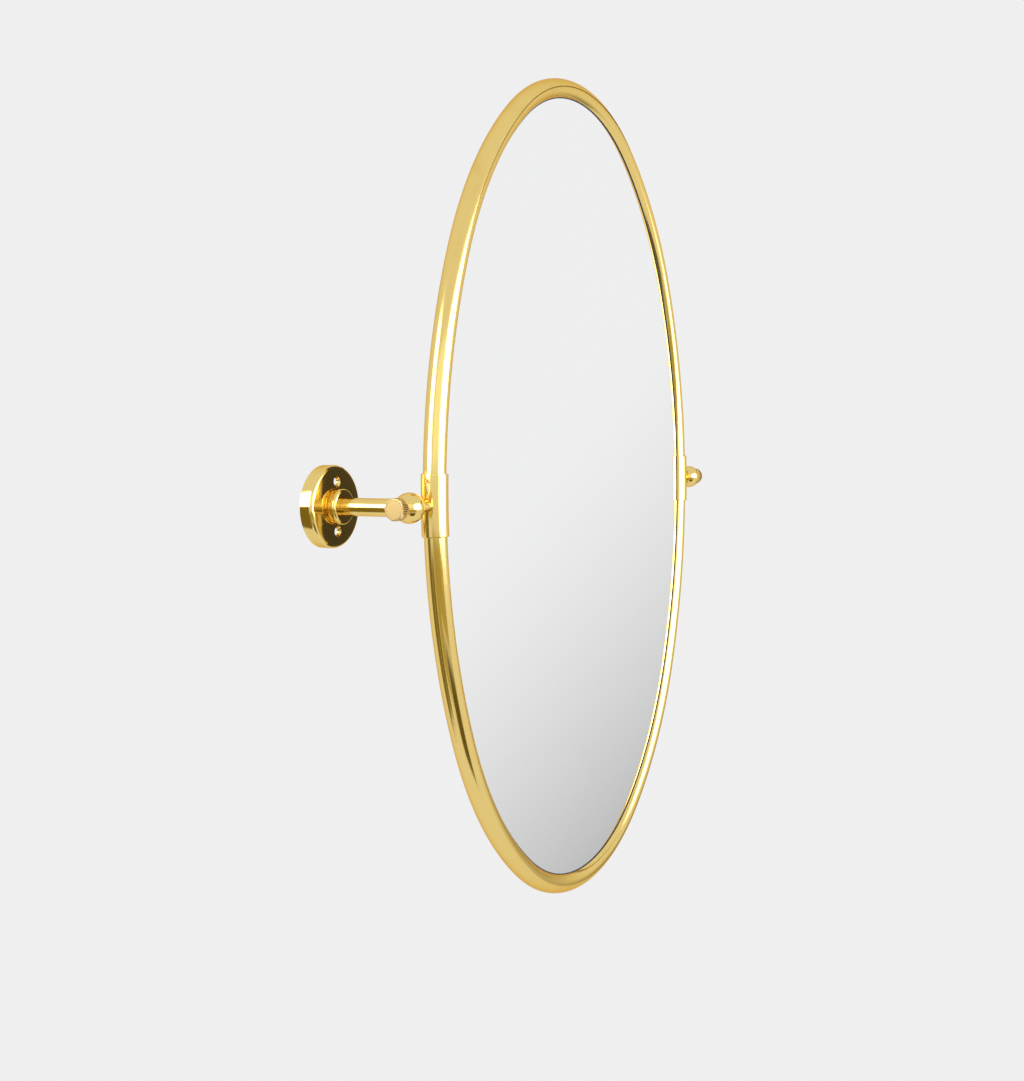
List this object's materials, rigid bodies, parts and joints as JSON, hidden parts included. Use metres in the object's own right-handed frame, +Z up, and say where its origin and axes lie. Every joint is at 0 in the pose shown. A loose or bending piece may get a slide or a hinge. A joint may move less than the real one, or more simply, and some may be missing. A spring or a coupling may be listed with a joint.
{
  "type": "wall mirror",
  "caption": "Oval wall mirror in a round brass tube frame that tilts about a level axis between two fixed wall arms with ball pivots and knurled thumb nuts.",
  "frame": {"origin": "on the wall plane, midway between the two wall roses, at the height of the pivots and of the middle of the four screw holes", "axes": "+X to the right seen from the room, +Y into the wall, +Z up; the wall is the plane Y = 0 and the mirror hangs in front of it at Y = -72 mm"},
  "size_m": [0.612, 0.083, 0.7],
  "materials": {
    "satin_brass": "satin, bare brass, drawn lengthways",
    "polished_brass": "polished",
    "turned_brass": "turned, plain",
    "knurled_brass": "straight knurled rim, matt turned face",
    "silvered_glass": "silvered float glass",
    "backing_board": "painted hardboard",
    "black_rubber": "matt"
  },
  "bodies": {
    "wall_brackets": {"wall_rose_left": "polished_brass", "arm_collar_left": "polished_brass", "arm_tube_left": "satin_brass", "lock_washer_left": "turned_brass", "lock_nut_left": "turned_brass", "pivot_ball_left": "polished_brass", "wall_rose_right": "polished_brass", "arm_collar_right": "polished_brass", "arm_tube_right": "satin_brass", "lock_washer_right": "turned_brass", "lock_nut_right": "turned_brass", "pivot_ball_right": "polished_brass"},
    "mirror": {"frame_tube_upper": "satin_brass", "frame_tube_lower": "satin_brass", "mirror_glass": "silvered_glass", "backing_board": "backing_board", "glazing_gasket": "black_rubber", "frame_sleeve_left": "satin_brass", "sleeve_screw_left": "turned_brass", "joint_spigot_left": "turned_brass", "pivot_pin_left": "turned_brass", "inner_washer_left": "turned_brass", "frame_sleeve_right": "satin_brass", "sleeve_screw_right": "turned_brass", "joint_spigot_right": "turned_brass", "pivot_pin_right": "turned_brass", "inner_washer_right": "turned_brass"},
    "washer_left": {"outer_washer_left": "turned_brass"},
    "thumb_nut_left": {"thumb_nut_left": "knurled_brass"},
    "washer_right": {"outer_washer_right": "turned_brass"},
    "thumb_nut_right": {"thumb_nut_right": "knurled_brass"}
  },
  "joints": [
    {"name": "mirror_tilt", "type": "hinge", "parent": "wall_brackets", "child": "mirror", "pos_m": [0, -0.072, 0], "axis": [1, 0, 0], "range_deg": [-10.5, 10.5]},
    {"name": "thumb_nut_travel_left", "type": "slide", "parent": "mirror", "child": "washer_left", "axis": [-1, 0, 0], "range_m": [0, 0.00121]},
    {"name": "thumb_nut_turn_left", "type": "hinge", "parent": "washer_left", "child": "thumb_nut_left", "pos_m": [-0.2915, -0.072, 0], "axis": [-1, 0, 0], "range_deg": [0, 540]},
    {"name": "thumb_nut_travel_right", "type": "slide", "parent": "mirror", "child": "washer_right", "axis": [1, 0, 0], "range_m": [0, 0.00121]},
    {"name": "thumb_nut_turn_right", "type": "hinge", "parent": "washer_right", "child": "thumb_nut_right", "pos_m": [0.2915, -0.072, 0], "axis": [1, 0, 0], "range_deg": [0, 540]}
  ],
  "couplings": [
    {"joint": "thumb_nut_travel_left", "follows": "thumb_nut_turn_left", "m_per_rad": 0.00012732},
    {"joint": "thumb_nut_travel_right", "follows": "thumb_nut_turn_right", "m_per_rad": 0.00012732}
  ]
}
